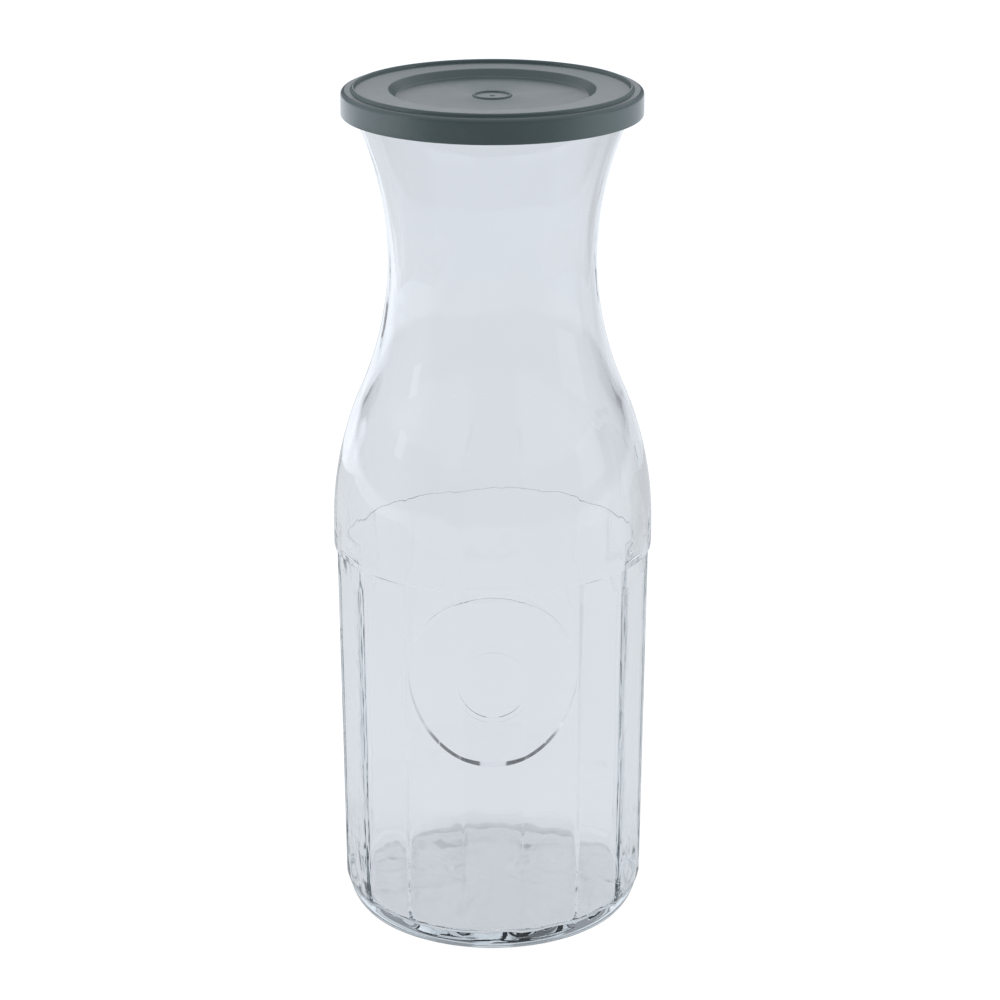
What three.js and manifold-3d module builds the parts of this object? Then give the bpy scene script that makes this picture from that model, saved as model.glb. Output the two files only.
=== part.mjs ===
// A clear glass table carafe without a handle, and the moulded plastic lid that lifts off it.
// Millimetres, +Z up. The origin is the middle of the foot, on the table, and the medallion faces -Y.
import * as THREE from "three";
import { mergeVertices, toCreasedNormals } from "three/addons/utils/BufferGeometryUtils.js";
import Module from "manifold-3d";

// Carafe, outside of the round upper half.
const GLASS_HEIGHT = 255.2; // table to the crest of the lip
const LIP_DIAMETER = 84.2; // outside of the lip
const NECK_DIAMETER = 62.1; // outside of the waist, the narrowest place
const NECK_DROP = 47.8; // crest of the lip down to the waist
const NECK_SWEEP = 101.9; // radius of the hollow curve below the waist
const SHOULDER_DIAMETER = 96.6; // the widest place
const SHOULDER_HEIGHT = 124.7; // table to the height where the shoulder starts to round inwards
const BAND_HEIGHT = 6.5; // straight band below the shoulder, down to the step
const BAND_EDGE_RADIUS = 0.3; // rounding of the band's lower edge

// Carafe, outside of the panelled lower half.
const PANEL_COUNT = 16; // flat panels round the body, one of them in the middle of the front
const PANEL_STEP = 1.3; // how far the middle of a panel lies inside the band
const PANEL_TAPER = 1.3; // how much nearer the axis a panel lies at the table than at the step
const HEEL_RISE = 10.9; // height of the rounded heel
const HEEL_RUN = 5.2; // how far the heel tucks in under the panels
const FOOT_WIDTH = 2.0; // width of the flat ring that the carafe stands on
const KICK_HEIGHT = 0.8; // hollow of the underside, in the middle

// Carafe, inside.
const GLASS_WALL = 3.1;
const FLOOR_THICKNESS = 6.0; // table to the inside of the floor
const INNER_HEEL_RADIUS = 2.5; // rounding between the floor and the inside wall

// Medallion: a disc wrapped on the front of the panels, with a smaller stepped disc on it. Diameters follow the surface.
const MEDALLION_DIAMETER = 54.0;
const MEDALLION_MARGIN = 1.5; // from the step down to the top of the medallion
const MEDALLION_INSET = 0.25; // from the widest place of the carafe back to the face
const MEDALLION_BEVEL = 2.2; // width of the sloping edge
const CENTRE_DIAMETER = 23.9;
const CENTRE_RISE = 0.4; // in two steps
const CENTRE_STEP = 0.1; // rise of the outer step
const CENTRE_LEDGE = 1.5; // width of the outer step
const CENTRE_BEVEL = 0.35; // width of each step's sloping edge
const MEDALLION_ROOT = 1.0; // how deep the disc is sunk into the panels behind it

// Lid, one moulding.
const LID_THICKNESS = 1.5;
const SEAT_GAP = 0.3; // crest of the lip to the underside of the lid
const LIP_CLEARANCE = 0.3; // outside of the lip to the bead in the skirt
const SKIRT_HEIGHT = 7.3;
const SKIRT_WALL = 1.4;
const SKIRT_BEAD = 0.35; // how far the bead stands in from the skirt
const SKIRT_BEAD_HEIGHT = 1.8;
const SKIRT_BEAD_LIFT = 0.7; // lower edge of the skirt to the bead
const SKIRT_EDGE_RADIUS = 0.4; // rounding of the lower edge
const LID_EDGE_RADIUS = 1.3; // rounding of the top edge
const STACKING_LEDGE = 2.85; // outside of the skirt to the outside of the stacking bead
const STACKING_BEAD_WIDTH = 1.4;
const STACKING_BEAD_HEIGHT = 0.95;
const RIM_FLAT = 9.7; // flat ring between the stacking bead and the recess
const RECESS_DEPTH = 2.1;
const RECESS_SLOPE = 2.0; // how far the recess narrows from its edge to its floor
const CENTRE_RING_DIAMETER = 11.6;
const CENTRE_RING_WIDTH = 0.9;
const CENTRE_RING_HEIGHT = 0.4;
const GATE_DIAMETER = 1.6; // mark of the moulding gate in the middle
const GATE_HEIGHT = 0.2;
const SEAL_DEPTH = 4.4; // how far the sealing ring hangs below the underside of the lid
const SEAL_WALL = 1.0;
const SEAL_CLEARANCE = 0.3; // sealing ring to the inside of the flare

// Fineness of the round surfaces.
const ROUND_SEGMENTS = PANEL_COUNT * 4;
const MEDALLION_SEGMENTS = 48;
const SWEEP_STEPS = 5;
const EDGE_STEPS = 3;
const CREASE_ANGLE = Math.PI / 9;

const QUARTER_TURN = Math.PI / 2;

const wasm = await Module();
wasm.setup();

const point = (radius, height) => new THREE.Vector2(radius, height);

// Points of an elliptical arc in the profile plane, both ends included, with angles in radians.
function arc(centre, width, height, from, to, steps) {
  return new THREE.EllipseCurve(centre.x, centre.y, width, height, from, to, to < from).getPoints(steps);
}

// A profile turned round the Z axis. Profiles run from the axis at the bottom to the axis at the top.
function turned(profile, segments = ROUND_SEGMENTS) {
  return new THREE.LatheGeometry(profile, segments).rotateX(QUARTER_TURN);
}

function solid(geometry) {
  geometry.deleteAttribute("normal");
  geometry.deleteAttribute("uv");
  const merged = mergeVertices(geometry);
  const vertProperties = merged.attributes.position.array;
  const triVerts = new Uint32Array(merged.index.array);
  return new wasm.Manifold(new wasm.Mesh({ numProp: 3, vertProperties, triVerts }));
}

function geometryOf(body) {
  const { vertProperties, triVerts } = body.getMesh();
  const geometry = new THREE.BufferGeometry();
  geometry.setAttribute("position", new THREE.BufferAttribute(vertProperties, 3));
  geometry.setIndex(new THREE.BufferAttribute(triVerts, 1));
  return toCreasedNormals(geometry, CREASE_ANGLE);
}

// The lip is a half round on the end of the wall.
const lipRound = GLASS_WALL / 2;
const lipCentre = point(LIP_DIAMETER / 2 - lipRound, GLASS_HEIGHT - lipRound);

// The flare above the waist: one arc in the middle of the wall, upright at the waist, that ends in the lip.
const waistRadius = NECK_DIAMETER / 2;
const waistHeight = GLASS_HEIGHT - NECK_DROP;
const flareRun = lipCentre.x - (waistRadius - lipRound);
const flareRise = lipCentre.y - waistHeight;
const flareSweep = (flareRise ** 2 + flareRun ** 2) / (2 * flareRun);
const flareCentre = point(waistRadius - lipRound + flareSweep, waistHeight);
const flareAngle = Math.asin(flareRise / flareSweep);
const flareOutside = flareSweep - lipRound;
const flareInside = flareSweep + lipRound;

// The shoulder: an arc that is upright at the band and runs into the hollow curve of the neck without a corner.
const shoulderRadius = SHOULDER_DIAMETER / 2;
const neckCentre = point(waistRadius + NECK_SWEEP, waistHeight);
const neckReach = neckCentre.x - shoulderRadius;
const shoulderRise = waistHeight - SHOULDER_HEIGHT;
const shoulderSweep = (neckReach ** 2 + shoulderRise ** 2 - NECK_SWEEP ** 2) / (2 * (shoulderRadius - waistRadius));
const shoulderCentre = point(shoulderRadius - shoulderSweep, SHOULDER_HEIGHT);
const shoulderAngle = Math.atan2(shoulderRise, neckReach + shoulderSweep);

// The step between the band and the panels.
const stepHeight = SHOULDER_HEIGHT - BAND_HEIGHT;
const panelHalf = Math.PI / PANEL_COUNT;

// Distance of the middle of a panel from the axis, at a height.
function panelRadius(height) {
  return shoulderRadius - PANEL_STEP - PANEL_TAPER * (1 - height / stepHeight);
}

function upperGlass() {
  const bandEdge = point(shoulderRadius - BAND_EDGE_RADIUS, stepHeight + BAND_EDGE_RADIUS);
  return solid(
    turned([
      point(0, stepHeight),
      ...arc(bandEdge, BAND_EDGE_RADIUS, BAND_EDGE_RADIUS, -QUARTER_TURN, 0, EDGE_STEPS),
      ...arc(shoulderCentre, shoulderSweep, shoulderSweep, 0, shoulderAngle, SWEEP_STEPS),
      ...arc(neckCentre, NECK_SWEEP, NECK_SWEEP, Math.PI + shoulderAngle, Math.PI, SWEEP_STEPS).slice(1),
      ...arc(flareCentre, flareOutside, flareOutside, Math.PI, Math.PI - flareAngle, SWEEP_STEPS).slice(1),
      ...arc(lipCentre, lipRound, lipRound, -flareAngle, QUARTER_TURN, EDGE_STEPS).slice(1),
      point(0, GLASS_HEIGHT),
    ]),
  );
}

// The panelled body up into the band. Rings of the turned shape are drawn out to the ridges between the panels,
// fully above the heel and less and less down to the round foot.
function lowerGlass() {
  const top = stepHeight + BAND_EDGE_RADIUS;
  const heelTop = panelRadius(HEEL_RISE);
  const footRadius = heelTop - HEEL_RUN;
  const hollowRadius = footRadius - FOOT_WIDTH;
  const kick = new THREE.QuadraticBezierCurve(
    point(0, KICK_HEIGHT),
    point(hollowRadius / 2, KICK_HEIGHT),
    point(hollowRadius, 0),
  );
  const geometry = turned([
    ...kick.getPoints(SWEEP_STEPS),
    ...arc(point(footRadius, HEEL_RISE), HEEL_RUN, HEEL_RISE, -QUARTER_TURN, 0, EDGE_STEPS + 2),
    point(panelRadius(top), top),
    point(0, top),
  ]);
  const position = geometry.attributes.position;
  for (let i = 0; i < position.count; i++) {
    const x = position.getX(i);
    const y = position.getY(i);
    const turn = Math.atan2(x, -y);
    const fromMiddle = turn - 2 * panelHalf * Math.round(turn / (2 * panelHalf));
    const share = THREE.MathUtils.clamp(position.getZ(i) / HEEL_RISE, 0, 1);
    const draw = 1 + share * (1 / Math.cos(fromMiddle) - 1);
    position.setX(i, x * draw);
    position.setY(i, y * draw);
  }
  return solid(geometry);
}

// The medallion is turned flat, with its face up, and then wrapped on the front of the body.
function medallion() {
  const radius = MEDALLION_DIAMETER / 2;
  const faceRadius = radius - MEDALLION_BEVEL;
  const centreRadius = CENTRE_DIAMETER / 2;
  const innerRadius = centreRadius - CENTRE_LEDGE;
  const centreHeight = stepHeight - MEDALLION_MARGIN - radius;
  const reach = shoulderRadius - MEDALLION_INSET;
  const foot = panelRadius(centreHeight - radius) - reach;
  const root = foot - MEDALLION_ROOT;
  const geometry = new THREE.LatheGeometry(
    [
      point(0, root),
      point(centreRadius, root),
      point((centreRadius + faceRadius) / 2, root),
      point(radius, root),
      point(radius, foot),
      point(faceRadius, 0),
      point((2 * faceRadius + centreRadius) / 3, 0),
      point((faceRadius + 2 * centreRadius) / 3, 0),
      point(centreRadius, 0),
      point(centreRadius - CENTRE_BEVEL, CENTRE_STEP),
      point(innerRadius, CENTRE_STEP),
      point(innerRadius - CENTRE_BEVEL, CENTRE_RISE),
      point((innerRadius - CENTRE_BEVEL) / 2, CENTRE_RISE),
      point(0, CENTRE_RISE),
    ],
    MEDALLION_SEGMENTS,
  );
  const position = geometry.attributes.position;
  for (let i = 0; i < position.count; i++) {
    const height = centreHeight - position.getZ(i);
    const turn = position.getX(i) / reach;
    const distance = reach + position.getY(i);
    position.setXYZ(i, distance * Math.sin(turn), -distance * Math.cos(turn), height);
  }
  return solid(geometry);
}

// The space inside, one wall in from the outside, up through the inner half of the lip and past the crest.
function inside() {
  const wallTop = stepHeight - BAND_HEIGHT;
  const heelTop = FLOOR_THICKNESS + INNER_HEEL_RADIUS;
  const heelWall = panelRadius(heelTop) - GLASS_WALL;
  const heelCentre = point(heelWall - INNER_HEEL_RADIUS, heelTop);
  const shoulderInside = shoulderSweep - GLASS_WALL;
  const neckInside = NECK_SWEEP + GLASS_WALL;
  const lipInside = arc(lipCentre, lipRound, lipRound, Math.PI - flareAngle, QUARTER_TURN, EDGE_STEPS).slice(1, -1);
  const past = GLASS_HEIGHT + GLASS_WALL;
  return solid(
    turned([
      point(0, FLOOR_THICKNESS),
      ...arc(heelCentre, INNER_HEEL_RADIUS, INNER_HEEL_RADIUS, -QUARTER_TURN, 0, EDGE_STEPS),
      point(panelRadius(wallTop) - GLASS_WALL, wallTop),
      ...arc(shoulderCentre, shoulderInside, shoulderInside, 0, shoulderAngle, SWEEP_STEPS),
      ...arc(neckCentre, neckInside, neckInside, Math.PI + shoulderAngle, Math.PI, SWEEP_STEPS).slice(1),
      ...arc(flareCentre, flareInside, flareInside, Math.PI, Math.PI - flareAngle, SWEEP_STEPS).slice(1),
      ...lipInside,
      point(lipInside.at(-1).x, past),
      point(0, past),
    ]),
  );
}

function carafe() {
  const body = upperGlass().add(lowerGlass()).add(medallion()).subtract(inside());
  const material = new THREE.MeshStandardMaterial({
    color: 0xdde5ea,
    roughness: 0.03,
    metalness: 0,
    transparent: true,
    opacity: 0.35,
  });
  const mesh = new THREE.Mesh(geometryOf(body), material);
  mesh.name = "glass_carafe";
  return mesh;
}

// Heights in the lid are measured from the crest of the lip, where the lid's own frame has its origin.
function lid() {
  const under = SEAT_GAP;
  const top = under + LID_THICKNESS;
  const skirtInside = LIP_DIAMETER / 2 + LIP_CLEARANCE + SKIRT_BEAD;
  const skirtOutside = skirtInside + SKIRT_WALL;
  const skirtBottom = top - SKIRT_HEIGHT;
  const beadMiddle = skirtBottom + SKIRT_BEAD_LIFT + SKIRT_BEAD_HEIGHT / 2;
  const bottomEdge = point(skirtOutside - SKIRT_EDGE_RADIUS, skirtBottom + SKIRT_EDGE_RADIUS);
  const topEdge = point(skirtOutside - LID_EDGE_RADIUS, top - LID_EDGE_RADIUS);

  const stackingMiddle = skirtOutside - STACKING_LEDGE - STACKING_BEAD_WIDTH / 2;
  const recessRadius = skirtOutside - STACKING_LEDGE - STACKING_BEAD_WIDTH - RIM_FLAT;
  const recessFloorRadius = recessRadius - RECESS_SLOPE;
  const recessFloor = top - RECESS_DEPTH;
  const recessUnder = recessFloor - LID_THICKNESS;
  const underShift = LID_THICKNESS * Math.tan(Math.atan2(RECESS_DEPTH, RECESS_SLOPE) / 2);
  const ringMiddle = (CENTRE_RING_DIAMETER - CENTRE_RING_WIDTH) / 2;

  // The sealing ring follows the inside of the flare, a clearance away, up to where the lip turns over.
  const sealSweep = flareInside + SEAL_CLEARANCE;
  const sealTip = under - SEAL_DEPTH;
  const sealRoot = lipCentre.y - GLASS_HEIGHT;
  const sealAngle = (height) => Math.PI - Math.asin((GLASS_HEIGHT + height - waistHeight) / sealSweep);
  const sealCentre = point(flareCentre.x, waistHeight - GLASS_HEIGHT);
  const sealFace = arc(sealCentre, sealSweep, sealSweep, sealAngle(sealTip), sealAngle(sealRoot), EDGE_STEPS);
  const sealBack = sealFace.map((p) => point(p.x - SEAL_WALL, p.y)).reverse();

  const profile = [
    point(0, recessUnder),
    point(recessFloorRadius + underShift, recessUnder),
    point(recessRadius + underShift, under),
    point(sealBack[0].x, under),
    ...sealBack,
    ...sealFace,
    point(sealFace.at(-1).x, under),
    point(skirtInside, under),
    ...arc(point(skirtInside, beadMiddle), SKIRT_BEAD, SKIRT_BEAD_HEIGHT / 2, QUARTER_TURN, 3 * QUARTER_TURN, EDGE_STEPS),
    point(skirtInside, skirtBottom),
    ...arc(bottomEdge, SKIRT_EDGE_RADIUS, SKIRT_EDGE_RADIUS, -QUARTER_TURN, 0, EDGE_STEPS - 1),
    ...arc(topEdge, LID_EDGE_RADIUS, LID_EDGE_RADIUS, 0, QUARTER_TURN, EDGE_STEPS),
    ...arc(point(stackingMiddle, top), STACKING_BEAD_WIDTH / 2, STACKING_BEAD_HEIGHT, 0, Math.PI, EDGE_STEPS + 1),
    point(recessRadius, top),
    point(recessFloorRadius, recessFloor),
    ...arc(point(ringMiddle, recessFloor), CENTRE_RING_WIDTH / 2, CENTRE_RING_HEIGHT, 0, Math.PI, EDGE_STEPS),
    ...arc(point(0, recessFloor), GATE_DIAMETER / 2, GATE_HEIGHT, 0, QUARTER_TURN, EDGE_STEPS - 2),
  ];
  const material = new THREE.MeshStandardMaterial({ color: 0x4b595a, roughness: 0.45, metalness: 0 });
  const mesh = new THREE.Mesh(turned(profile), material);
  mesh.name = "lid";
  mesh.position.z = GLASS_HEIGHT;
  return mesh;
}

const carafeWithLid = new THREE.Group();
carafeWithLid.add(carafe(), lid());

export default carafeWithLid;
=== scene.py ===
import math

import bmesh
import bpy
import numpy as np
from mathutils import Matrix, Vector


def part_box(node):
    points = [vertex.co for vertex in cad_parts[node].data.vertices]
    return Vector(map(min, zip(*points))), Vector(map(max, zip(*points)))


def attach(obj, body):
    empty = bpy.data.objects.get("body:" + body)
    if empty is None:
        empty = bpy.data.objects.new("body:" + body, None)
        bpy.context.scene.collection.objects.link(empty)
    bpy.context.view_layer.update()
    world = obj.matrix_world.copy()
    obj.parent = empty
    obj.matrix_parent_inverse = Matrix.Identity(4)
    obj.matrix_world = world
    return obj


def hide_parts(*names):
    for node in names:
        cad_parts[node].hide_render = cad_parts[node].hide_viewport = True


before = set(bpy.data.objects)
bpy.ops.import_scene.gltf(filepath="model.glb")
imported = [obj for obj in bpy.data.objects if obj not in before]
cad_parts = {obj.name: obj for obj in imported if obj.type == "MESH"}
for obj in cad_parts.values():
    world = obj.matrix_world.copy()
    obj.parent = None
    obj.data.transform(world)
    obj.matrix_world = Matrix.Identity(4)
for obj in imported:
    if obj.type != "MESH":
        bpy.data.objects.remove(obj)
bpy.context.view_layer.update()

# Carafe: one piece of clear soda-lime glass, blown in a hinged mould with a flared mouth, a waisted neck,
# a round shoulder and sixteen flat panels below it. The inside is free blown, so it ripples a little.
carafe_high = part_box("glass_carafe")[1]
LIP_CREST = carafe_high[2]
SHOULDER_RADIUS = carafe_high[0]
GLASS_WALL = 0.0031
LIP_RADIUS = 0.0421
WAIST_RADIUS = 0.03105
NECK_DROP = 0.0478
WAIST_HEIGHT = LIP_CREST - NECK_DROP
NECK_SWEEP = 0.1019
SHOULDER_HEIGHT = 0.1247
BAND_HEIGHT = 0.0065
STEP_HEIGHT = SHOULDER_HEIGHT - BAND_HEIGHT
BAND_EDGE = 0.00010
PANEL_COUNT = 16
PANEL_STEP = 0.0013
PANEL_TAPER = 0.0013
RIDGE_SOFTNESS = 0.008
INNER_SOFTNESS = 0.012
INNER_FOLLOW = 1.3
HEEL_RISE = 0.0109
HEEL_RUN = 0.0052
HEEL_FADE = 0.55
FOOT_WIDTH = 0.0020
KICK_HEIGHT = 0.0008
FLOOR_HEIGHT = 0.0060
INNER_HEEL = 0.0025
INNER_WALL_DROP = 0.0065
MEDALLION_HEIGHT = 0.0897
MEDALLION_REACH = 0.04805
MEDALLION_RADIUS = 0.0270
MEDALLION_SLOPE = math.radians(36)
MEDALLION_EDGE = 0.0003
MEDALLION_PAD = 0.006
PAD_RIDGES = 0.3
EDGE_STEEPNESS = 4.5
EDGE_EASE = 0.00006
EDGE_START = 0.5
CENTRE_RADIUS = 0.01195
CENTRE_EDGE = 0.0015
CENTRE_RISE = 0.00010
CENTRE_BEVEL = 0.00012
CENTRE_INNER_RISE = 0.00028
CENTRE_INNER_BEVEL = 0.00034
BEVEL_SOFTNESS = 0.1
WAVE_HEIGHT = 0.00020
WAVE_SCALE = 100.0
RIPPLE_HEIGHT = 0.00006
RIPPLE_SCALE = 280.0
PANEL_FADE_TOP = 0.008
PANEL_FADE_FLOOR = 0.004
LIP_TRUE_DEPTH = 0.03
LOW_WAVE_TOP = 0.035
LOW_WAVE_FADE = 0.025
LOW_WAVE_GAIN = 2.5
LOW_ROWS = 6
WEB_ROWS = 48
WEB_MARGIN = 0.001
WEB_STEP_GAP = 0.0006
FRONT_COLUMNS = 16
PLAIN_COLUMNS = 9
RIDGE_COLUMNS = np.radians([0.0, 0.22, 0.5])

half_panel = math.pi / PANEL_COUNT
lip_round = GLASS_WALL / 2
lip_r, lip_z = LIP_RADIUS - lip_round, LIP_CREST - lip_round
flare_run = lip_r - (WAIST_RADIUS - lip_round)
flare_rise = lip_z - WAIST_HEIGHT
flare_sweep = (flare_rise**2 + flare_run**2) / (2 * flare_run)
flare_r = WAIST_RADIUS - lip_round + flare_sweep
flare_angle = math.asin(flare_rise / flare_sweep)
neck_r = WAIST_RADIUS + NECK_SWEEP
neck_reach = neck_r - SHOULDER_RADIUS
shoulder_rise = WAIST_HEIGHT - SHOULDER_HEIGHT
shoulder_run = SHOULDER_RADIUS - WAIST_RADIUS
shoulder_sweep = (neck_reach**2 + shoulder_rise**2 - NECK_SWEEP**2) / (2 * shoulder_run)
shoulder_r = SHOULDER_RADIUS - shoulder_sweep
shoulder_angle = math.atan2(shoulder_rise, neck_reach + shoulder_sweep)


def panel_radius(height):
    return SHOULDER_RADIUS - PANEL_STEP - PANEL_TAPER * (1 - height / STEP_HEIGHT)


def arc(r, z, width, height, start, end, steps):
    """Points of a profile along part of an ellipse about a centre."""
    turns = np.linspace(start, end, steps + 1)
    return [(r + width * math.cos(a), z + height * math.sin(a)) for a in turns]


def sweep(r, z, radius, start, end, steps):
    """An arc without its first point, which ends the arc before it."""
    return arc(r, z, radius, radius, start, end, steps)[1:]


heel_top = panel_radius(HEEL_RISE)
foot_radius = heel_top - HEEL_RUN
hollow_radius = foot_radius - FOOT_WIDTH
underside = [(hollow_radius * t, KICK_HEIGHT * (1 - t * t)) for t in np.linspace(0, 1, 16)]
underside += [(hollow_radius + FOOT_WIDTH * share, 0) for share in (0.1, 0.5, 0.9)]
heel = arc(foot_radius, HEEL_RISE, HEEL_RUN, HEEL_RISE, -math.pi / 2, 0, 14)
web_bottom, web_top = MEDALLION_HEIGHT - MEDALLION_RADIUS - WEB_MARGIN, STEP_HEIGHT - WEB_STEP_GAP
panels = [(panel_radius(z), z) for z in np.linspace(HEEL_RISE, web_bottom, LOW_ROWS + 2)[1:-1]]
panels += [(panel_radius(z), z) for z in np.linspace(web_bottom, web_top, WEB_ROWS)]
panels += [(panel_radius(STEP_HEIGHT), STEP_HEIGHT - gap) for gap in (0.0002, 0.00005)]
ledge_shares = (0.0, 0.05, 0.25, 0.5, 0.75, 0.95)
ledge = [(panel_radius(STEP_HEIGHT), STEP_HEIGHT)] * len(ledge_shares)
band_r, band_z = SHOULDER_RADIUS - BAND_EDGE, STEP_HEIGHT + BAND_EDGE
band = arc(band_r, band_z, BAND_EDGE, BAND_EDGE, -math.pi / 2, 0, 8)
shoulder = arc(shoulder_r, SHOULDER_HEIGHT, shoulder_sweep, shoulder_sweep, 0, shoulder_angle, 16)
neck_end, flare_end = math.pi + shoulder_angle, math.pi - flare_angle
neck = sweep(neck_r, WAIST_HEIGHT, NECK_SWEEP, neck_end, math.pi, 16)
flare = sweep(flare_r, WAIST_HEIGHT, flare_sweep - lip_round, math.pi, flare_end, 16)
lip = sweep(lip_r, lip_z, lip_round, -flare_angle, flare_end, 16)

inner_flare = sweep(flare_r, WAIST_HEIGHT, flare_sweep + lip_round, flare_end, math.pi, 12)
inner_neck = sweep(neck_r, WAIST_HEIGHT, NECK_SWEEP + GLASS_WALL, math.pi, neck_end, 14)
inner_shoulder = sweep(shoulder_r, SHOULDER_HEIGHT, shoulder_sweep - GLASS_WALL, shoulder_angle, 0, 26)
inner_heel_top = FLOOR_HEIGHT + INNER_HEEL
inner_heel_r = panel_radius(inner_heel_top) - GLASS_WALL - INNER_HEEL
inner_heights = np.linspace(STEP_HEIGHT - INNER_WALL_DROP, inner_heel_top, 100)
inner_wall = [(panel_radius(z) - GLASS_WALL, z) for z in inner_heights]
inner_heel = sweep(inner_heel_r, inner_heel_top, INNER_HEEL, 0, -math.pi / 2, 10)
inner_floor = [(r, FLOOR_HEIGHT) for r in np.linspace(inner_heel_r, 0, 8)[1:]]

outside = underside + heel + panels + ledge + band + shoulder + neck + flare + lip
inside = inner_flare + inner_neck + inner_shoulder + inner_wall + inner_heel + inner_floor
profile = outside + inside
first_panelled = len(underside)
first_ledge = len(underside + heel + panels)
last_panelled = first_ledge + len(ledge)

columns = []
for panel in range(-1, PANEL_COUNT - 1):
    middle = panel * 2 * half_panel
    flat_columns = FRONT_COLUMNS if panel < 2 else PLAIN_COLUMNS
    flat_half = half_panel - RIDGE_COLUMNS[-1]
    flat_turns = np.linspace(-flat_half, flat_half, flat_columns + 1)[1:]
    columns += list(middle - half_panel + RIDGE_COLUMNS) + list(middle + flat_turns)
    columns.append(middle + half_panel - RIDGE_COLUMNS[1])


def turned(profile, turns):
    """Points and faces of a profile turned round Z, from axis to axis, and each point's row in it."""
    rows = profile[1:-1]
    ring = np.array([(math.sin(a), -math.cos(a)) for a in turns])
    points = [(0, 0, profile[0][1])]
    points += [(r * x, r * y, z) for r, z in rows for x, y in ring]
    points.append((0, 0, profile[-1][1]))
    count = len(turns)
    last = len(points) - 1
    faces = []
    for c in range(count):
        d = (c + 1) % count
        faces.append((0, 1 + d, 1 + c))
        faces.append((last, last - count + c, last - count + d))
        for r in range(len(rows) - 1):
            low, high = 1 + r * count, 1 + (r + 1) * count
            faces.append((low + c, low + d, high + d, high + c))
    row_of = np.concatenate([[0], np.repeat(np.arange(1, len(rows) + 1), count), [len(rows) + 1]])
    return points, faces, row_of


carafe_points, carafe_faces, carafe_row = turned(profile, columns)

# Under the medallion the mesh is a web of rings round its middle, so that its fine edges run along it.
# The web takes the place of the three front panels' faces, between two rows and the ridges beside them.
web_low = len(underside + heel) + LOW_ROWS
web_high = web_low + WEB_ROWS - 1
web_right = next(c for c, turn in enumerate(columns) if turn > 2.9 * half_panel)


def grid_point(row, column):
    return 1 + (row - 1) * len(columns) + column


web_rows = range(web_low, web_high + 1)
web_area = {grid_point(row, c) for row in web_rows for c in range(web_right + 1)}
carafe_faces = [face for face in carafe_faces if not web_area.issuperset(face)]
rim = [grid_point(web_low, c) for c in range(web_right)]
rim += [grid_point(row, web_right) for row in range(web_low, web_high)]
rim += [grid_point(web_high, c) for c in range(web_right, 0, -1)]
rim += [grid_point(row, 0) for row in range(web_high, web_low, -1)]


def rise_at(along, above):
    """How far the medallion's face stands above its sharp edge. The panels are smoother below it."""
    from_middle = abs((along / MEDALLION_REACH + half_panel) % (2 * half_panel) - half_panel)
    upper = min(max(above / MEDALLION_RADIUS + EDGE_START, 0.0), 1.0)
    ridges = PAD_RIDGES + (1 - PAD_RIDGES) * upper
    reach = panel_radius(MEDALLION_HEIGHT + above) * (1 + (1 / math.cos(from_middle) - 1) * ridges)
    return MEDALLION_REACH - reach - MEDALLION_EDGE * upper


MICRON = 1e-6
foot_rings = [MICRON * n for n in (400, 200, 100, 50, 20, 0, -20, -40, -60, -80, -100, -140, -200)]
face_rings = [MICRON * n for n in (100, 50, 20, 0, -20, -50, -100, -200, -400)]
step_rings = [MICRON * n for n in (100, 40, 0, -40, -80, -120, -200, -280, -320, -360, -450)]
spokes = []
for start in rim:
    x, y, z = carafe_points[start]
    along, above = math.atan2(x, -y) * MEDALLION_REACH, z - MEDALLION_HEIGHT
    outer = math.hypot(along, above)
    along, above = along / outer, above / outer
    edge = MEDALLION_RADIUS
    for _ in range(20):
        edge = MEDALLION_RADIUS - rise_at(along * edge, above * edge) / math.tan(MEDALLION_SLOPE)
    foot = [MEDALLION_RADIUS + step for step in foot_rings]
    face_edge = [edge + step for step in face_rings]
    disc_edge = [CENTRE_RADIUS + step for step in step_rings]
    disc_top = [CENTRE_RADIUS - CENTRE_EDGE + step for step in step_rings]
    reaches = list(np.linspace(outer, foot[0], 5)[1:-1]) + foot
    reaches += list(np.linspace(foot[-1], face_edge[0], 6)[1:-1]) + face_edge
    reaches += list(np.linspace(face_edge[-1], disc_edge[0], 9)[1:-1]) + disc_edge
    reaches += list(np.linspace(disc_edge[-1], disc_top[0], 4)[1:-1]) + disc_top
    reaches += list(np.linspace(disc_top[-1], 0, 6)[1:-1])
    spokes.append([(along * reach, above * reach) for reach in reaches])


def on_wall(along, above):
    turn, height = along / MEDALLION_REACH, MEDALLION_HEIGHT + above
    reach = panel_radius(height)
    return reach * math.sin(turn), -reach * math.cos(turn), height


middle_point = len(carafe_points)
carafe_points.append(on_wall(0, 0))
loop = rim
for ring in zip(*spokes):
    first = len(carafe_points)
    carafe_points += [on_wall(*spot) for spot in ring]
    inner_loop = list(range(first, first + len(rim)))
    for k in range(len(rim)):
        j = (k + 1) % len(rim)
        carafe_faces.append((loop[k], loop[j], inner_loop[j], inner_loop[k]))
    loop = inner_loop
for k in range(len(rim)):
    carafe_faces.append((loop[k], loop[(k + 1) % len(rim)], middle_point))
carafe_mesh = bpy.data.meshes.new("carafe_form")
carafe_mesh.from_pydata(carafe_points, [], carafe_faces)
carafe_mesh.shade_smooth()

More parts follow.
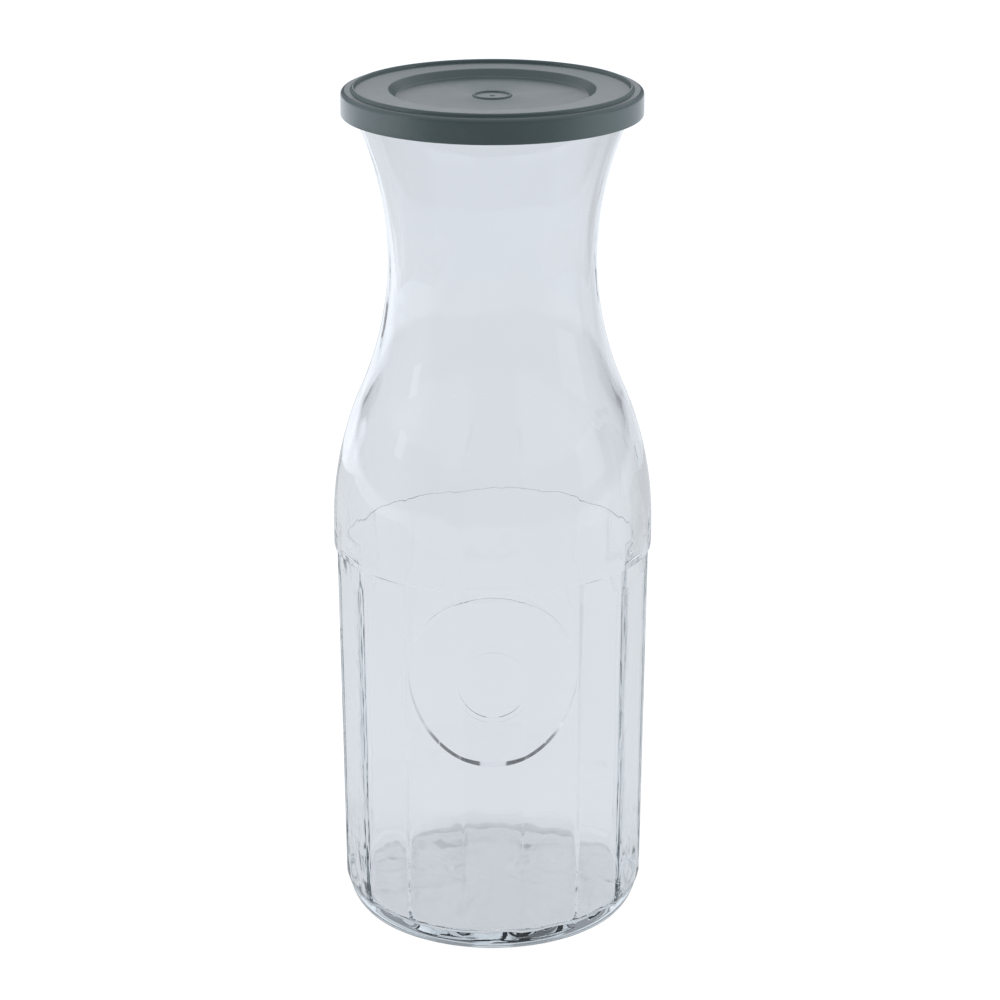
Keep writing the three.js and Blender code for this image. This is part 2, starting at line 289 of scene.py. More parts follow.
row_flat = np.array([min(r, panel_radius(z)) for r, z in profile])
row_heights = np.array([z for r, z in profile])
row_follow = np.clip((row_heights / HEEL_RISE - HEEL_FADE) / (1 - HEEL_FADE), 0.0, 1.0)
row_flat[:first_panelled] = 0
row_flat[last_panelled:len(outside)] = 0
row_ledge = np.zeros(len(profile))
row_ledge[first_ledge:last_panelled] = ledge_shares
for row, (r, z) in enumerate(profile):
    if row >= len(outside):
        below_step = np.clip((STEP_HEIGHT - z) / PANEL_FADE_TOP, 0, 1)
        above_floor = np.clip((z - FLOOR_HEIGHT) / PANEL_FADE_FLOOR, 0, 1)
        row_flat[row] = r
        row_follow[row] = INNER_FOLLOW * (below_step * above_floor)
count = len(carafe_mesh.vertices)
heights = np.empty(count * 3)
carafe_mesh.vertices.foreach_get("co", heights)
heights = heights[2::3]
flat_radius = panel_radius(heights)
follow = np.ones(count)
ledge_share = np.zeros(count)
is_inside = np.zeros(count)
flat_radius[:len(carafe_row)] = row_flat[carafe_row]
follow[:len(carafe_row)] = row_follow[carafe_row]
ledge_share[:len(carafe_row)] = row_ledge[carafe_row]
is_inside[:len(carafe_row)] = carafe_row >= len(outside)
blown = is_inside * np.clip((lip_z - heights) / LIP_TRUE_DEPTH, 0, 1)
blown *= 1 + LOW_WAVE_GAIN * np.clip((LOW_WAVE_TOP - heights) / LOW_WAVE_FADE, 0, 1)
stored_values = {
    "flat_radius": flat_radius,
    "follow": follow,
    "ledge": ledge_share,
    "inside": is_inside,
    "blown": blown,
}
for name, values in stored_values.items():
    carafe_mesh.attributes.new(name, "FLOAT", "POINT").data.foreach_set("value", values)

glass_form = bpy.data.node_groups.new("carafe_form", "GeometryNodeTree")
glass_form.interface.new_socket("Geometry", in_out="INPUT", socket_type="NodeSocketGeometry")
form_values = {
    "Panel Angle": 2 * half_panel,
    "Ridge Softness": RIDGE_SOFTNESS,
    "Inner Softness": INNER_SOFTNESS,
    "Band Reach": SHOULDER_RADIUS - BAND_EDGE,
    "Medallion Height": MEDALLION_HEIGHT,
    "Medallion Reach": MEDALLION_REACH,
    "Medallion Radius": MEDALLION_RADIUS,
    "Medallion Slope": math.tan(MEDALLION_SLOPE),
    "Medallion Edge": MEDALLION_EDGE,
    "Medallion Pad": MEDALLION_PAD,
    "Pad Ridges": PAD_RIDGES,
    "Edge Steepness": EDGE_STEEPNESS,
    "Edge Ease": EDGE_EASE,
    "Edge Start": EDGE_START,
    "Centre Radius": CENTRE_RADIUS,
    "Centre Edge": CENTRE_EDGE,
    "Centre Rise": CENTRE_RISE,
    "Centre Bevel": CENTRE_BEVEL,
    "Centre Inner Rise": CENTRE_INNER_RISE,
    "Centre Inner Bevel": CENTRE_INNER_BEVEL,
    "Bevel Softness": BEVEL_SOFTNESS,
    "Wave Height": WAVE_HEIGHT,
    "Wave Scale": WAVE_SCALE,
    "Ripple Height": RIPPLE_HEIGHT,
    "Ripple Scale": RIPPLE_SCALE,
}
form_ids = {
    name: glass_form.interface.new_socket(name, in_out="INPUT", socket_type="NodeSocketFloat").identifier
    for name in form_values
}
glass_form.interface.new_socket("Material", in_out="INPUT", socket_type="NodeSocketMaterial")
glass_form.interface.new_socket("Geometry", in_out="OUTPUT", socket_type="NodeSocketGeometry")
form_in = glass_form.nodes.new("NodeGroupInput").outputs
form_out = glass_form.nodes.new("NodeGroupOutput").inputs


def math_node(tree, operation, *values, clamp=False):
    """A Math node whose inputs are sockets or numbers. Returns its output."""
    node = tree.nodes.new("ShaderNodeMath")
    node.operation = operation
    node.use_clamp = clamp
    for socket, value in zip(node.inputs, values):
        if isinstance(value, bpy.types.NodeSocket):
            tree.links.new(value, socket)
        else:
            socket.default_value = value
    return node.outputs[0]


def form_math(operation, *values, clamp=False):
    return math_node(glass_form, operation, *values, clamp=clamp)


def form_length(a, b):
    """The length of two sides at right angles, joined."""
    squares = form_math("ADD", form_math("MULTIPLY", a, a), form_math("MULTIPLY", b, b))
    return form_math("SQRT", squares)


def stored(name):
    node = glass_form.nodes.new("GeometryNodeInputNamedAttribute")
    node.data_type = "FLOAT"
    node.inputs["Name"].default_value = name
    return node.outputs["Attribute"]


position = glass_form.nodes.new("GeometryNodeInputPosition").outputs[0]
axes = glass_form.nodes.new("ShaderNodeSeparateXYZ")
glass_form.links.new(position, axes.inputs[0])
x, y, z = axes.outputs
radius = form_length(x, y)
turn = form_math("ARCTAN2", x, form_math("MULTIPLY", y, -1.0))

along = form_math("MULTIPLY", turn, form_in["Medallion Reach"])
above = form_math("SUBTRACT", z, form_in["Medallion Height"])
from_centre = form_length(along, above)
inwards = form_math("SUBTRACT", form_in["Medallion Radius"], from_centre)
above_share = form_math("DIVIDE", above, form_in["Medallion Radius"])
upper = form_math("ADD", above_share, form_in["Edge Start"], clamp=True)

# Each panel is a plane, so its distance from the axis grows as one over the cosine of the angle from its
# middle. Two neighbours meet in a ridge that the mould left slightly soft, and the panels fade out over
# the heel. The ridges are lower just under the medallion, where the mould was dressed round it.
pitch = form_in["Panel Angle"]
half_pitch_on = form_math("ADD", turn, form_math("MULTIPLY", pitch, 0.5))
panel_middle = form_math("SNAP", half_pitch_on, pitch)
from_middle = form_math("ABSOLUTE", form_math("SUBTRACT", turn, panel_middle))
this_panel = form_math("DIVIDE", 1.0, form_math("COSINE", from_middle))
next_panel = form_math("DIVIDE", 1.0, form_math("COSINE", form_math("SUBTRACT", pitch, from_middle)))
flat = stored("flat_radius")
inside_wall = stored("inside")
extra_softness = form_math("SUBTRACT", form_in["Inner Softness"], form_in["Ridge Softness"])
softness = form_math("MULTIPLY_ADD", extra_softness, inside_wall, form_in["Ridge Softness"])
panel_reach = form_math("SMOOTH_MIN", this_panel, next_panel, softness)
by_medallion = form_math("ADD", form_math("DIVIDE", inwards, form_in["Medallion Pad"]), 1.0, clamp=True)
dressed = form_math("MULTIPLY", by_medallion, form_math("SUBTRACT", 1.0, upper))
dressed = form_math("MULTIPLY", dressed, form_math("SUBTRACT", 1.0, inside_wall))
ridge_loss = form_math("MULTIPLY", dressed, form_math("SUBTRACT", 1.0, form_in["Pad Ridges"]))
ridge_share = form_math("SUBTRACT", 1.0, ridge_loss)
ridge_share = form_math("MULTIPLY", ridge_share, stored("follow"))
panel_draw = form_math("MULTIPLY_ADD", form_math("SUBTRACT", panel_reach, 1.0), ridge_share, 1.0)
on_panel = form_math("MULTIPLY", flat, panel_draw)
to_band = form_math("MULTIPLY", form_math("SUBTRACT", form_in["Band Reach"], on_panel), stored("ledge"))
round_reach = form_math("MULTIPLY", radius, form_math("LESS_THAN", flat, 1e-6))
panelled = form_math("MAXIMUM", form_math("ADD", on_panel, to_band), round_reach)

# The medallion stands on the front panels with an upright face. Its edge stands up sharply from the panel
# and then slopes to the face, and a disc with two fine steps stands on its middle.


def raised(radius, bevel):
    """Nought outside the radius, one inside its sloping edge, with the two corners of the slope eased."""
    slope = form_math("DIVIDE", form_math("SUBTRACT", radius, from_centre), bevel)
    eased_foot = form_math("SMOOTH_MAX", slope, 0.0, form_in["Bevel Softness"])
    return form_math("SMOOTH_MIN", eased_foot, 1.0, form_in["Bevel Softness"])


inner_step = form_math("SUBTRACT", form_in["Centre Radius"], form_in["Centre Edge"])
disc = raised(form_in["Centre Radius"], form_in["Centre Bevel"])
disc = form_math("MULTIPLY", disc, form_in["Centre Rise"])
disc_step = raised(inner_step, form_in["Centre Inner Bevel"])
disc = form_math("MULTIPLY_ADD", disc_step, form_in["Centre Inner Rise"], disc)
face = form_math("ADD", form_in["Medallion Reach"], disc)
is_outer_panel = form_math("SUBTRACT", form_math("GREATER_THAN", flat, 0.0), inside_wall, clamp=True)
sharp_edge = form_math("MULTIPLY", inwards, form_in["Edge Steepness"])
edge_rise = form_math("MULTIPLY", form_in["Medallion Edge"], upper)
sloping = form_math("MULTIPLY_ADD", inwards, form_in["Medallion Slope"], edge_rise)
climb = form_math("SMOOTH_MIN", sharp_edge, sloping, form_in["Edge Ease"])
climb = form_math("SMOOTH_MAX", climb, 0.0, form_in["Edge Ease"])
lifted = form_math("MULTIPLY_ADD", climb, is_outer_panel, panelled)
elsewhere = form_math("SUBTRACT", 1.0, is_outer_panel)
formed = form_math("SMOOTH_MIN", lifted, form_math("ADD", face, elsewhere), form_in["Edge Ease"])

draw = form_math("DIVIDE", formed, form_math("MAXIMUM", radius, 1e-6))
placed = glass_form.nodes.new("ShaderNodeCombineXYZ")
glass_form.links.new(form_math("MULTIPLY", x, draw), placed.inputs[0])
glass_form.links.new(form_math("MULTIPLY", y, draw), placed.inputs[1])
glass_form.links.new(z, placed.inputs[2])

# The blown inside is not quite true: long waves, drawn out downwards, and finer ripples over them.


def unevenness(scale, height, stretch):
    """A smooth random height, drawn out along Z."""
    drawn = glass_form.nodes.new("ShaderNodeVectorMath")
    drawn.operation = "MULTIPLY"
    drawn.inputs[1].default_value = (1.0, 1.0, stretch)
    glass_form.links.new(position, drawn.inputs[0])
    noise = glass_form.nodes.new("ShaderNodeTexNoise")
    noise.inputs["Detail"].default_value = 0.0
    glass_form.links.new(drawn.outputs[0], noise.inputs["Vector"])
    glass_form.links.new(scale, noise.inputs["Scale"])
    from_mean = form_math("SUBTRACT", noise.outputs[0], 0.5)
    return form_math("MULTIPLY", from_mean, form_math("MULTIPLY", height, 2.0))


waves = unevenness(form_in["Wave Scale"], form_in["Wave Height"], 0.4)
ripples = unevenness(form_in["Ripple Scale"], form_in["Ripple Height"], 0.7)
uneven = form_math("MULTIPLY", form_math("ADD", waves, ripples), stored("blown"))
swell = glass_form.nodes.new("ShaderNodeVectorMath")
swell.operation = "SCALE"
glass_form.links.new(glass_form.nodes.new("GeometryNodeInputNormal").outputs[0], swell.inputs[0])
glass_form.links.new(uneven, swell.inputs["Scale"])
move = glass_form.nodes.new("GeometryNodeSetPosition")
glass_form.links.new(form_in["Geometry"], move.inputs["Geometry"])
glass_form.links.new(placed.outputs[0], move.inputs["Position"])
glass_form.links.new(swell.outputs[0], move.inputs["Offset"])
realize = glass_form.nodes.new("GeometryNodeRealizeInstances")
glass_form.links.new(move.outputs[0], realize.inputs[0])
finish = glass_form.nodes.new("GeometryNodeSetMaterial")
glass_form.links.new(realize.outputs[0], finish.inputs["Geometry"])
glass_form.links.new(form_in["Material"], finish.inputs["Material"])
glass_form.links.new(finish.outputs[0], form_out["Geometry"])

clear_glass = bpy.data.materials.new("clear_glass")
clear_glass.use_nodes = True
glass_nodes = clear_glass.node_tree.nodes
glass_shader = glass_nodes["Principled BSDF"]
glass_shader.inputs["Base Color"].default_value = (0.99, 0.995, 1.0, 1.0)
glass_shader.inputs["Roughness"].default_value = 0.0
glass_shader.inputs["IOR"].default_value = 1.52
glass_shader.inputs["Transmission Weight"].default_value = 1.0
glass_depth = glass_nodes.new("ShaderNodeVolumeAbsorption")
glass_depth.inputs["Color"].default_value = (0.55, 0.64, 0.68, 1.0)
glass_depth.inputs["Density"].default_value = 8.0
clear_glass.node_tree.links.new(glass_depth.outputs[0], glass_nodes["Material Output"].inputs["Volume"])


def made_solid(name, source):
    """The evaluated mesh of an object as a plain object at the origin, with its normals outwards."""
    evaluated = source.evaluated_get(bpy.context.evaluated_depsgraph_get())
    mesh = bpy.data.meshes.new_from_object(evaluated)
    bpy.data.objects.remove(source)
    form = bmesh.new()
    form.from_mesh(mesh)
    loose = [point for point in form.verts if not point.link_faces]
    bmesh.ops.delete(form, geom=loose, context="VERTS")
    bmesh.ops.remove_doubles(form, verts=form.verts, dist=2e-7)
    bmesh.ops.recalc_face_normals(form, faces=form.faces)
    form.to_mesh(mesh)
    form.free()
    mesh.name = name
    solid = bpy.data.objects.new(name, mesh)
    bpy.context.collection.objects.link(solid)
    return solid


carafe_blank = bpy.data.objects.new("carafe_blank", carafe_mesh)
bpy.context.collection.objects.link(carafe_blank)
shaping = carafe_blank.modifiers.new("form", "NODES")
shaping.node_group = glass_form
for name, value in form_values.items():
    shaping[form_ids[name]] = value
shaping[form_in["Material"].identifier] = clear_glass
carafe = made_solid("carafe_glass", carafe_blank)
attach(carafe, "carafe")
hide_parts("glass_carafe")

# Lid: one injection moulding in soft dark grey-green polyethylene, with a satin face.
# The skirt goes over the lip, the sealing ring inside it, and the bead on top lets lids stack.
LID_THICKNESS = 0.0015
SEAT_GAP = 0.0003
LIP_CLEARANCE = 0.0003
SKIRT_HEIGHT = 0.0073
SKIRT_WALL = 0.0014
SKIRT_BEAD = 0.00035
SKIRT_BEAD_HEIGHT = 0.0018
SKIRT_BEAD_LIFT = 0.0007
SKIRT_EDGE = 0.0004
LID_EDGE = 0.0013
STACKING_LEDGE = 0.00285
STACKING_BEAD = 0.0014
STACKING_BEAD_HEIGHT = 0.00095
RIM_FLAT = 0.0097
RECESS_DEPTH = 0.0021
RECESS_SLOPE = 0.0020
CENTRE_RING_RADIUS = 0.0058
CENTRE_RING_WIDTH = 0.0009
CENTRE_RING_HEIGHT = 0.0004
GATE_RADIUS = 0.0008
GATE_HEIGHT = 0.0002
SEAL_DEPTH = 0.0044
SEAL_WALL = 0.0010
SEAL_CLEARANCE = 0.0003
UNDERSIDE_EASE = 0.0003
FACE_EASE = 0.0005
LID_COLUMNS = 192

lid_under = LIP_CREST + SEAT_GAP
lid_top = lid_under + LID_THICKNESS
skirt_inside = LIP_RADIUS + LIP_CLEARANCE + SKIRT_BEAD
skirt_outside = skirt_inside + SKIRT_WALL
skirt_bottom = lid_top - SKIRT_HEIGHT
bead_half = SKIRT_BEAD_HEIGHT / 2
bead_middle = skirt_bottom + SKIRT_BEAD_LIFT + bead_half
stacking_middle = skirt_outside - STACKING_LEDGE - STACKING_BEAD / 2
recess_radius = skirt_outside - STACKING_LEDGE - STACKING_BEAD - RIM_FLAT
recess_floor_radius = recess_radius - RECESS_SLOPE
recess_floor = lid_top - RECESS_DEPTH
recess_under = recess_floor - LID_THICKNESS
under_shift = LID_THICKNESS * math.tan(math.atan2(RECESS_DEPTH, RECESS_SLOPE) / 2)
seal_sweep = flare_sweep + lip_round + SEAL_CLEARANCE
seal_tip = lid_under - SEAL_DEPTH


def seal_angle(height):
    return math.pi - math.asin((height - WAIST_HEIGHT) / seal_sweep)


seal_face = arc(flare_r, WAIST_HEIGHT, seal_sweep, seal_sweep, seal_angle(seal_tip), seal_angle(lip_z), 6)
seal_back = [(r - SEAL_WALL, z) for r, z in reversed(seal_face)]


def eased(corners, radius, steps=4):
    """A profile's corners, each cut by a small round of about the radius."""
    points = [corners[0]]
    for before, corner, after in zip(corners, corners[1:], corners[2:]):
        a, b, c = Vector(before), Vector(corner), Vector(after)
        reach = min(radius, (a - b).length / 2, (c - b).length / 2)
        start = b + (a - b).normalized() * reach
        end = b + (c - b).normalized() * reach
        for i in range(steps + 1):
            t = i / steps
            points.append(tuple(start.lerp(b, t).lerp(b.lerp(end, t), t)))
    points.append(corners[-1])
    return points


lid_underside = eased(
    [
        (0, recess_under),
        (recess_floor_radius + under_shift, recess_under),
        (recess_radius + under_shift, lid_under),
        (seal_back[0][0], lid_under),
        *seal_back,
        *seal_face,
        (seal_face[-1][0], lid_under),
        (skirt_inside, lid_under),
        (skirt_inside, bead_middle + bead_half),
    ],
    UNDERSIDE_EASE,
)
skirt_low, skirt_high = skirt_bottom + SKIRT_EDGE, lid_top - LID_EDGE
lid_skirt = arc(skirt_inside, bead_middle, SKIRT_BEAD, bead_half, math.pi / 2, 3 * math.pi / 2, 10)
lid_skirt.append((skirt_inside, skirt_bottom + SKIRT_EDGE / 4))
lid_skirt.append((skirt_inside + SKIRT_EDGE / 4, skirt_bottom))
lid_skirt += arc(skirt_outside - SKIRT_EDGE, skirt_low, SKIRT_EDGE, SKIRT_EDGE, -math.pi / 2, 0, 6)
lid_skirt += [(skirt_outside, z) for z in np.linspace(skirt_low, skirt_high, 6)[1:-1]]
lid_skirt += arc(skirt_outside - LID_EDGE, skirt_high, LID_EDGE, LID_EDGE, 0, math.pi / 2, 10)
ring_middle, ring_half = CENTRE_RING_RADIUS - CENTRE_RING_WIDTH / 2, CENTRE_RING_WIDTH / 2
lid_face = eased(
    [
        (stacking_middle + STACKING_BEAD, lid_top),
        *arc(stacking_middle, lid_top, STACKING_BEAD / 2, STACKING_BEAD_HEIGHT, 0, math.pi, 14),
        (recess_radius, lid_top),
        (recess_floor_radius, recess_floor),
        *arc(ring_middle, recess_floor, ring_half, CENTRE_RING_HEIGHT, 0, math.pi, 10),
        (GATE_RADIUS * 2, recess_floor),
        *arc(0, recess_floor, GATE_RADIUS, GATE_HEIGHT, 0, math.pi / 2, 5),
    ],
    FACE_EASE,
)
lid_turns = np.linspace(0, 2 * math.pi, LID_COLUMNS + 1)[:-1]
lid_points, lid_faces, _ = turned(lid_underside + lid_skirt + lid_face, lid_turns)
lid_mesh = bpy.data.meshes.new("lid_form")
lid_mesh.from_pydata(lid_points, [], lid_faces)
lid_mesh.shade_smooth()

lid_plastic = bpy.data.materials.new("lid_plastic")
lid_plastic.use_nodes = True
lid_nodes = lid_plastic.node_tree.nodes
lid_links = lid_plastic.node_tree.links
lid_shader = lid_nodes["Principled BSDF"]
lid_place = lid_nodes.new("ShaderNodeTexCoord").outputs["Object"]


def lid_noise(scale, detail):
    node = lid_nodes.new("ShaderNodeTexNoise")
    node.inputs["Scale"].default_value = scale
    node.inputs["Detail"].default_value = detail
    lid_links.new(lid_place, node.inputs["Vector"])
    return node.outputs[0]


lid_colour = lid_nodes.new("ShaderNodeMix")
lid_colour.data_type = "RGBA"
lid_colour.inputs["A"].default_value = (0.062, 0.086, 0.090, 1.0)
lid_colour.inputs["B"].default_value = (0.074, 0.101, 0.106, 1.0)
lid_links.new(lid_noise(60.0, 4.0), lid_colour.inputs["Factor"])
lid_links.new(lid_colour.outputs["Result"], lid_shader.inputs["Base Color"])
lid_sheen = lid_nodes.new("ShaderNodeMapRange")
lid_sheen.inputs["To Min"].default_value = 0.17
lid_sheen.inputs["To Max"].default_value = 0.24
lid_links.new(lid_noise(140.0, 3.0), lid_sheen.inputs["Value"])
lid_links.new(lid_sheen.outputs[0], lid_shader.inputs["Roughness"])
lid_grain = lid_nodes.new("ShaderNodeBump")
lid_grain.inputs["Strength"].default_value = 0.15
lid_grain.inputs["Distance"].default_value = 0.0002
lid_links.new(lid_noise(1400.0, 2.0), lid_grain.inputs["Height"])
lid_links.new(lid_grain.outputs[0], lid_shader.inputs["Normal"])

lid_blank = bpy.data.objects.new("lid_blank", lid_mesh)
bpy.context.collection.objects.link(lid_blank)
lid = made_solid("lid_moulding", lid_blank)
lid.data.materials.append(lid_plastic)
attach(lid, "lid")
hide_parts("lid")

# Table: a plain white sheet that takes the carafe's soft shadow. Its front edge is well short of the
# camera, so the glass and the lid show the darker room beyond it.
# It looks white from the camera. Through the glass and as a reflection it glows in place of the lit
# table: pale blue grey through the glass and dimmer as a reflection. On that glow there is painted shade
# towards the front in a reflection, a painted shadow round the carafe's foot, and painted shade on its
# right through the glass.
TABLE_FRONT = -0.41
TABLE_BACK = 0.55
TABLE_LEFT = -0.9
TABLE_RIGHT = 0.8
TABLE_HEIGHT = -0.0001
SEEN_GLOW = 0.85
THROUGH_GLOW = 0.82
table_mesh = bpy.data.meshes.new("table")
table_front = [(TABLE_LEFT, TABLE_FRONT, TABLE_HEIGHT), (TABLE_RIGHT, TABLE_FRONT, TABLE_HEIGHT)]
table_back = [(TABLE_RIGHT, TABLE_BACK, TABLE_HEIGHT), (TABLE_LEFT, TABLE_BACK, TABLE_HEIGHT)]
table_mesh.from_pydata(table_front + table_back, [], [(0, 1, 2, 3)])
table = bpy.data.objects.new("table", table_mesh)
bpy.context.collection.objects.link(table)
table_white = bpy.data.materials.new("table_white")
table_white.use_nodes = True
table_nodes = table_white.node_tree.nodes
table_links = table_white.node_tree.links
table_nodes.remove(table_nodes["Principled BSDF"])
table_paint = table_nodes.new("ShaderNodeBsdfDiffuse")
table_paint.inputs["Color"].default_value = (0.8, 0.8, 0.8, 1.0)
table_rays = table_nodes.new("ShaderNodeLightPath").outputs
table_tone = table_nodes.new("ShaderNodeMix")
table_tone.data_type = "RGBA"
table_tone.inputs["A"].default_value = (0.765, 0.795, 0.835, 1.0)
table_tone.inputs["B"].default_value = (1.13, 1.13, 1.13, 1.0)
table_links.new(table_rays["Is Camera Ray"], table_tone.inputs["Factor"])
table_place = table_nodes.new("ShaderNodeTexCoord").outputs["Object"]
table_axes = table_nodes.new("ShaderNodeSeparateXYZ")
table_links.new(table_place, table_axes.inputs[0])
from_foot = table_nodes.new("ShaderNodeVectorMath")
from_foot.operation = "LENGTH"
table_links.new(table_place, from_foot.inputs[0])


def ramp(tree, value, start, end, at_start, at_end):
    """A smooth change from one number to another."""
    node = tree.nodes.new("ShaderNodeMapRange")
    node.interpolation_type = "SMOOTHSTEP"
    tree.links.new(value, node.inputs["Value"])
    for socket, number in zip(node.inputs[1:5], (start, end, at_start, at_end)):
        socket.default_value = number
    return node.outputs[0]


def table_math(operation, *values, clamp=False):
    return math_node(table_white.node_tree, operation, *values, clamp=clamp)


def table_ramp(value, start, end, at_start, at_end):
    return ramp(table_white.node_tree, value, start, end, at_start, at_end)


by_camera = table_rays["Is Camera Ray"]
by_glass = table_rays["Is Transmission Ray"]
by_gloss = table_rays["Is Glossy Ray"]
reflected = table_math("SUBTRACT", by_gloss, by_glass, clamp=True)
# Painted shade: as a reflection, the table's glow dims towards its front edge.
painted_reflection_shade = table_ramp(table_axes.outputs[1], -0.40, 0.10, -0.85, -0.2)
table_strength = table_math("MULTIPLY_ADD", reflected, painted_reflection_shade, 1.0)
# Painted shadow: the table's glow is darker under and round the carafe's foot.
painted_foot_shadow = table_ramp(from_foot.outputs["Value"], 0.034, 0.046, 0.85, 1.0)
# Painted shade: through the glass, the table's glow is darker to the carafe's right.
painted_right_shade = table_ramp(table_axes.outputs[0], 0.05, 0.25, 1.0, 0.74)
painted_right_shade = table_math("MAXIMUM", painted_right_shade, reflected)
# Painted shade on the glow: the painted shadow round the foot for every ray but the camera's, and the
# painted shade on the right only through the glass.
painted_table_shade = table_math("MULTIPLY", painted_foot_shadow, painted_right_shade)
painted_table_shade = table_math("MAXIMUM", painted_table_shade, by_camera)
table_strength = table_math("MULTIPLY", table_strength, painted_table_shade)
table_glow = table_nodes.new("ShaderNodeEmission")
table_links.new(table_tone.outputs["Result"], table_glow.inputs["Color"])
table_links.new(table_strength, table_glow.inputs["Strength"])
seen = table_math("MULTIPLY", by_camera, SEEN_GLOW)
through = table_math("MULTIPLY", table_math("MAXIMUM", by_glass, by_gloss), THROUGH_GLOW)
table_mix = table_nodes.new("ShaderNodeMixShader")
table_links.new(table_math("MAXIMUM", seen, through), table_mix.inputs[0])
table_links.new(table_paint.outputs[0], table_mix.inputs[1])
table_links.new(table_glow.outputs[0], table_mix.inputs[2])
table_links.new(table_mix.outputs[0], table_nodes["Material Output"].inputs["Surface"])
table.data.materials.append(table_white)

# Board: a low white card that stands along the back edge of the table, behind the carafe.
# Through the glass it carries the table's tone on a little higher than the table reaches.
BOARD_HEIGHT = 0.055
BOARD_WIDTH = 0.36
board_mesh = bpy.data.meshes.new("board")
board_feet = [(-BOARD_WIDTH / 2, TABLE_BACK, 0), (BOARD_WIDTH / 2, TABLE_BACK, 0)]
board_top = [(BOARD_WIDTH / 2, TABLE_BACK, BOARD_HEIGHT), (-BOARD_WIDTH / 2, TABLE_BACK, BOARD_HEIGHT)]
board_mesh.from_pydata(board_feet + board_top, [], [(0, 1, 2, 3)])
board = bpy.data.objects.new("board", board_mesh)
bpy.context.collection.objects.link(board)
board_white = bpy.data.materials.new("board_white")
board_white.use_nodes = True
board_nodes = board_white.node_tree.nodes
board_links = board_white.node_tree.links
board_nodes.remove(board_nodes["Principled BSDF"])
board_tone = board_nodes.new("ShaderNodeMix")
board_tone.data_type = "RGBA"
board_tone.inputs["A"].default_value = (0.745, 0.775, 0.815, 1.0)
board_tone.inputs["B"].default_value = (1.13, 1.13, 1.13, 1.0)
board_rays = board_nodes.new("ShaderNodeLightPath").outputs
board_links.new(board_rays["Is Camera Ray"], board_tone.inputs["Factor"])
board_glow = board_nodes.new("ShaderNodeEmission")
board_links.new(board_tone.outputs["Result"], board_glow.inputs["Color"])
board_links.new(board_glow.outputs[0], board_nodes["Material Output"].inputs["Surface"])
board.data.materials.append(board_white)

# Studio: a room with a bright ceiling and bright walls on either hand, darker behind and by the camera.
# A large soft box on either hand lights the lid and the table. The small windows beside the boxes are
# what the glass mirrors.
room = bpy.data.worlds.new("room")
bpy.context.scene.world = room
room.use_nodes = True
room_nodes = room.node_tree.nodes
room_links = room.node_tree.links
room_air = room_nodes["Background"]
room_air.inputs["Color"].default_value = (0.93, 0.97, 1.03, 1.0)
room_side = room_nodes.new("ShaderNodeSeparateXYZ")
room_links.new(room_nodes.new("ShaderNodeTexCoord").outputs["Generated"], room_side.inputs[0])


def room_ramp(direction, start, end, at_start, at_end):
    return ramp(room.node_tree, direction, start, end, at_start, at_end)


def room_math(operation, *values, clamp=False):
    return math_node(room.node_tree, operation, *values, clamp=clamp)


DARK = 0.12
room_rays = room_nodes.new("ShaderNodeLightPath").outputs
through_glass = room_rays["Is Transmission Ray"]
across, along_view, upward = room_side.outputs
aside = room_math("ABSOLUTE", across)
ceiling = room_ramp(upward, 0.15, 0.50, DARK, 0.66)
left_wall = room_ramp(across, -0.6, -0.85, DARK, 0.7)
right_wall = room_ramp(across, 0.6, 0.85, DARK, 0.35)
dim_sides = room_ramp(aside, 0.26, 0.42, DARK, 0.34)
off_axis = room_math("DIVIDE", aside, along_view)
behind = room_math("GREATER_THAN", along_view, 0.0)
backdrop = room_math("MULTIPLY", room_ramp(off_axis, 0.08, 0.13, 0.8, DARK), behind)
lit = left_wall
for part in (right_wall, dim_sides, ceiling, backdrop):
    lit = room_math("MAXIMUM", lit, part)
camera_side = room_ramp(along_view, -0.75, -0.1, 0.25, 1.0)
near_wall = room_math("MULTIPLY", room_ramp(along_view, -0.3, 0.0, 0.5, 0.0), through_glass)
lit = room_math("MAXIMUM", room_math("MULTIPLY", lit, camera_side), near_wall)

ground = room_ramp(upward, -0.105, -0.04, 0.79, DARK)
for far_side, share in ((-0.6, 1.2), (0.6, 0.85)):
    ground = room_math("MULTIPLY", ground, room_ramp(across, far_side / 6, far_side, 1.0, share))
mirrored_share = room_math("SUBTRACT", room_rays["Is Glossy Ray"], through_glass, clamp=True)
ground = room_math("MULTIPLY", ground, room_math("MULTIPLY_ADD", mirrored_share, 0.4, 1.0))
ground = room_math("MULTIPLY", ground, room_math("MAXIMUM", camera_side, through_glass))
room_light = room_math("MAXIMUM", lit, ground)
overhead = room_math("MULTIPLY", room_ramp(upward, 0.15, 0.30, 0.0, 0.9), through_glass)
overhead = room_math("MULTIPLY", overhead, room_ramp(aside, 0.25, 0.45, 0.1, 1.0))
room_light = room_math("MULTIPLY_ADD", room_light, overhead, room_light)
room_seen = room_nodes.new("ShaderNodeMix")
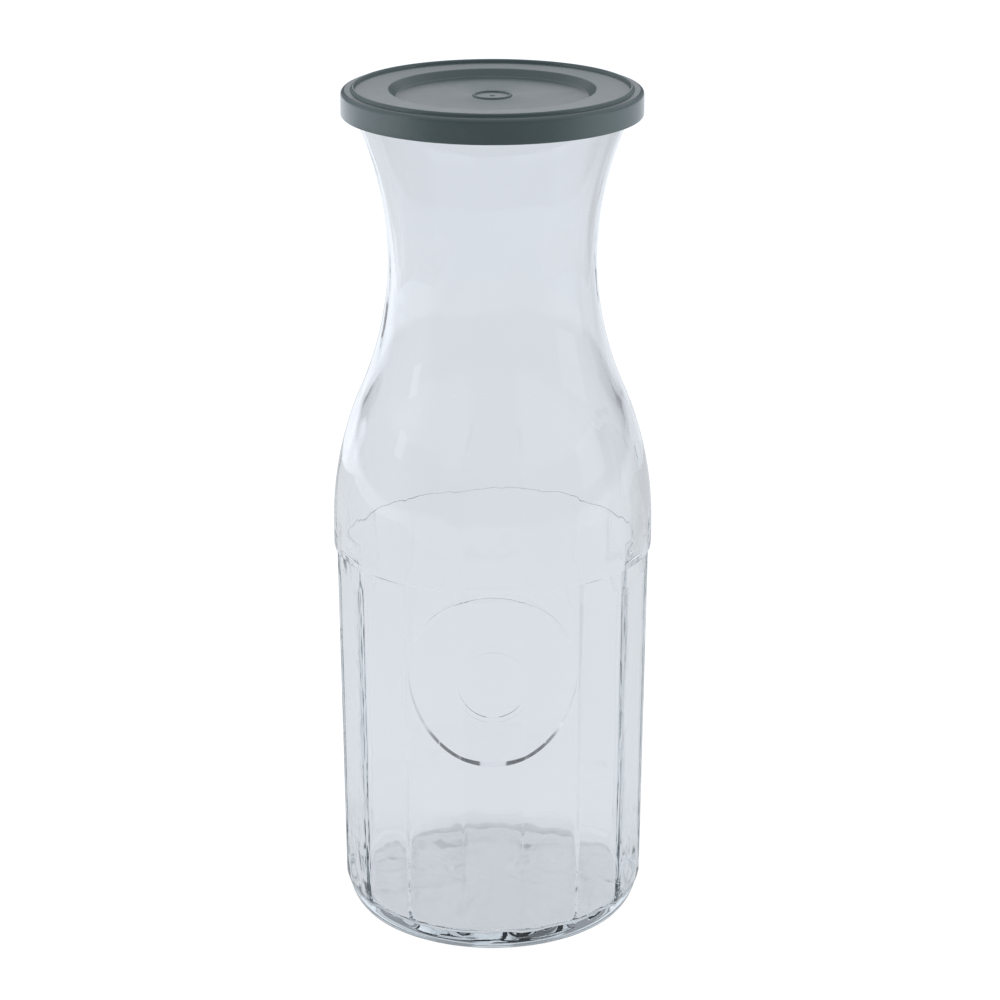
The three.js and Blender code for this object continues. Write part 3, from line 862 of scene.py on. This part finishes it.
room_links.new(room_rays["Is Camera Ray"], room_seen.inputs["Factor"])
room_links.new(room_light, room_seen.inputs["A"])
room_seen.inputs["B"].default_value = 1.12
room_links.new(room_seen.outputs[0], room_air.inputs["Strength"])

AIM = Vector((0, 0, 0.2))
soft_boxes = (
    ("soft_box_left", Vector((-1.0, -0.25, 0.45)), 0.5, 0.5, 8.0, False),
    ("soft_box_right", Vector((1.0, -0.25, 0.45)), 0.5, 0.5, 9.0, False),
    ("window_left", Vector((-0.97, -0.23, 0.355)), 0.14, 0.13, 0.055, True),
    ("window_right", Vector((0.99, -0.17, 0.28)), 0.40, 0.24, 0.15, True),
)
for name, place, width, height, power, mirrored in soft_boxes:
    lamp = bpy.data.lights.new(name, "AREA")
    lamp.shape = "RECTANGLE"
    lamp.size = width
    lamp.size_y = height
    lamp.energy = power
    soft_box = bpy.data.objects.new(name, lamp)
    soft_box.location = place
    soft_box.rotation_euler = (AIM - place).to_track_quat("-Z", "Y").to_euler()
    soft_box.visible_camera = False
    soft_box.visible_glossy = mirrored
    soft_box.visible_transmission = False
    bpy.context.collection.objects.link(soft_box)

# Light is followed through every reflection inside the glass, or its edges would turn black.
light_paths = bpy.context.scene.cycles
light_paths.max_bounces = 40
light_paths.glossy_bounces = 32
light_paths.transmission_bounces = 32

# Camera: a long lens in front of the carafe and higher than its lid, looking down at it without any roll.
CAMERA_DISTANCE = 0.8534
CAMERA_HEIGHT = 0.4262
CAMERA_PITCH = math.radians(19.11)
CAMERA_YAW = math.radians(0.149)
SENSOR = 36.0
FOCAL_SHARE = 2.969
eye = bpy.data.cameras.new("camera")
eye.sensor_width = SENSOR
eye.lens = SENSOR * FOCAL_SHARE
camera = bpy.data.objects.new("camera", eye)
camera.location = (0, -CAMERA_DISTANCE, CAMERA_HEIGHT)
camera.rotation_euler = (math.pi / 2 - CAMERA_PITCH, 0, -CAMERA_YAW)
bpy.context.collection.objects.link(camera)
bpy.context.scene.camera = camera
bpy.context.scene.view_settings.view_transform = "Standard"
